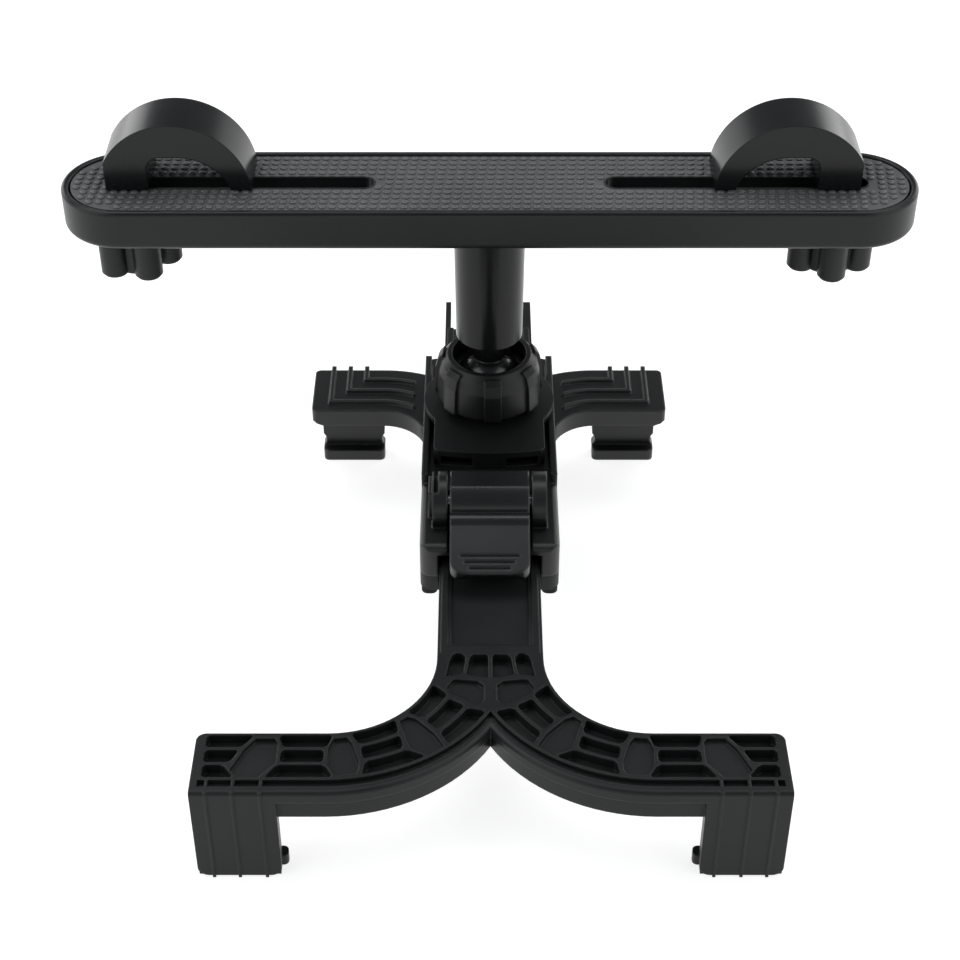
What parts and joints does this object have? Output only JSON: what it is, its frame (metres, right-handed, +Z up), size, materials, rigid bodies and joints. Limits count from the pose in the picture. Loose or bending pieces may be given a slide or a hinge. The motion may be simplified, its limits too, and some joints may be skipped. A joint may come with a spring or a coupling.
{
  "type": "headrest tablet mount",
  "caption": "Headrest tablet mount: slotted bar with clamp hooks on a post and ball joint, over a bracket whose sliding jaw and cam lever hold a tablet.",
  "frame": {"origin": "middle of the footprint on the floor, with the mount lying on its four tablet hooks", "axes": "+X along the headrest bar, +Y away from the sliding jaw, +Z up through the ball joint"},
  "size_m": [0.21, 0.1956, 0.1204],
  "materials": {
    "bar_plastic": "satin moulded black",
    "post_plastic": "satin moulded black",
    "ball_plastic": "smooth black nylon",
    "hook_plastic": "satin moulded black",
    "knob_plastic": "satin moulded black",
    "socket_plastic": "satin moulded black",
    "collar_plastic": "satin moulded black",
    "housing_plastic": "satin moulded black",
    "cover_plastic": "satin moulded black",
    "jaw_plastic": "satin moulded black",
    "lever_plastic": "satin moulded black",
    "grip_rubber": "studded rubber",
    "pad_rubber": "plain rubber",
    "seat_nylon": "plain nylon",
    "steel": "zinc plated"
  },
  "bodies": {
    "bracket": {"housing": "housing_plastic", "lower_cover": "cover_plastic", "cover_screws": "steel", "tablet_pads": "pad_rubber", "socket_base": "socket_plastic", "base_screws": "steel", "lever_pin": "steel", "brake_shoe": "pad_rubber"},
    "jaw": {"near_jaw": "jaw_plastic"},
    "lever": {"cam_lever": "lever_plastic"},
    "collar": {"collar_nut": "collar_plastic"},
    "seat": {"ball_seat": "seat_nylon"},
    "stud": {"ball_stud": "ball_plastic", "post_screw": "steel"},
    "bar": {"bar_shell": "bar_plastic", "grip_pad": "grip_rubber", "post": "post_plastic"},
    "left_slider": {"left_washer": "steel"},
    "left_clamp": {"left_hook": "hook_plastic", "left_bolt": "steel"},
    "left_star": {"left_knob": "knob_plastic", "left_knob_nut": "steel"},
    "right_slider": {"right_washer": "steel"},
    "right_clamp": {"right_hook": "hook_plastic", "right_bolt": "steel"},
    "right_star": {"right_knob": "knob_plastic", "right_knob_nut": "steel"}
  },
  "joints": [
    {"name": "jaw_slide", "type": "slide", "parent": "bracket", "child": "jaw", "axis": [0, 1, 0], "range_m": [-0.06, 0.029]},
    {"name": "lever_hinge", "type": "hinge", "parent": "bracket", "child": "lever", "pos_m": [0, -0.00762, 0.0357], "axis": [-1, 0, 0], "range_deg": [0, 100]},
    {"name": "collar_turn", "type": "hinge", "parent": "bracket", "child": "collar", "pos_m": [0, 0.03377, 0.0442], "axis": [0, 0, 1], "range_deg": [0, 360]},
    {"name": "ball_swivel", "type": "hinge", "parent": "bracket", "child": "seat", "pos_m": [0, 0.03377, 0.0442], "axis": [0, 0, 1], "continuous": true},
    {"name": "ball_tilt", "type": "hinge", "parent": "seat", "child": "stud", "pos_m": [0, 0.03377, 0.0442], "axis": [1, 0, 0], "range_deg": [-22, 22]},
    {"name": "bar_swivel", "type": "hinge", "parent": "stud", "child": "bar", "pos_m": [0, 0.03377, 0.0442], "axis": [0, 0, 1], "continuous": true},
    {"name": "left_slide", "type": "slide", "parent": "bar", "child": "left_slider", "axis": [1, 0, 0], "range_m": [-0.0018, 0.0572]},
    {"name": "left_knob_turn", "type": "hinge", "parent": "left_slider", "child": "left_star", "pos_m": [-0.0882, 0.03377, 0.086], "axis": [0, 0, -1], "range_deg": [0, 2700]},
    {"name": "left_lift", "type": "slide", "parent": "left_slider", "child": "left_clamp", "axis": [0, 0, 1], "range_m": [0, 0.006]},
    {"name": "right_slide", "type": "slide", "parent": "bar", "child": "right_slider", "axis": [1, 0, 0], "range_m": [-0.054, 0.005]},
    {"name": "right_knob_turn", "type": "hinge", "parent": "right_slider", "child": "right_star", "pos_m": [0.085, 0.03377, 0.086], "axis": [0, 0, -1], "range_deg": [0, 2700]},
    {"name": "right_lift", "type": "slide", "parent": "right_slider", "child": "right_clamp", "axis": [0, 0, 1], "range_m": [0, 0.006]}
  ],
  "couplings": [
    {"joint": "left_lift", "follows": "left_knob_turn", "m_per_rad": 0.00012732},
    {"joint": "right_lift", "follows": "right_knob_turn", "m_per_rad": 0.00012732}
  ]
}
